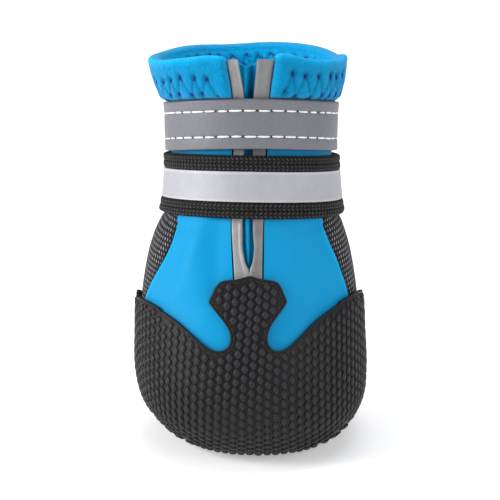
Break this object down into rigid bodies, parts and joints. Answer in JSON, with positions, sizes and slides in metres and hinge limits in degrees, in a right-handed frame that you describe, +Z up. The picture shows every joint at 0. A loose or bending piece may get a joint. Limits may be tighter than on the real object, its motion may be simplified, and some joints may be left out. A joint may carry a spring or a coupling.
{
  "type": "dog boot",
  "caption": "Soft-shell boot for a dog's paw with a rubber sole that wraps up into a textured toe cap, a front slit with piping and two straps round the ankle.",
  "frame": {"origin": "on the floor under the middle of the sole, on its flat underside", "axes": "+Z up, toe towards -Y, the boot's right side seen from the front towards +X"},
  "size_m": [0.0716, 0.0751, 0.1212],
  "materials": {
    "rubber": "matt moulded rubber with raised pads",
    "soft_shell": "smooth matt knit",
    "foam": "matt cloth over foam",
    "piping": "satin reflective tape",
    "webbing": "matt ribbed webbing",
    "silver_tape": "satin reflective tape",
    "grey_strap": "satin reflective fabric"
  },
  "bodies": {
    "root": {"outsole": "rubber", "upper": "soft_shell", "insole": "foam", "gusset": "soft_shell", "piping_left": "piping", "piping_right": "piping", "collar_cuff": "soft_shell", "strap_lower": "webbing", "strap_lower_tape": "silver_tape", "strap_upper": "grey_strap"}
  },
  "joints": []
}
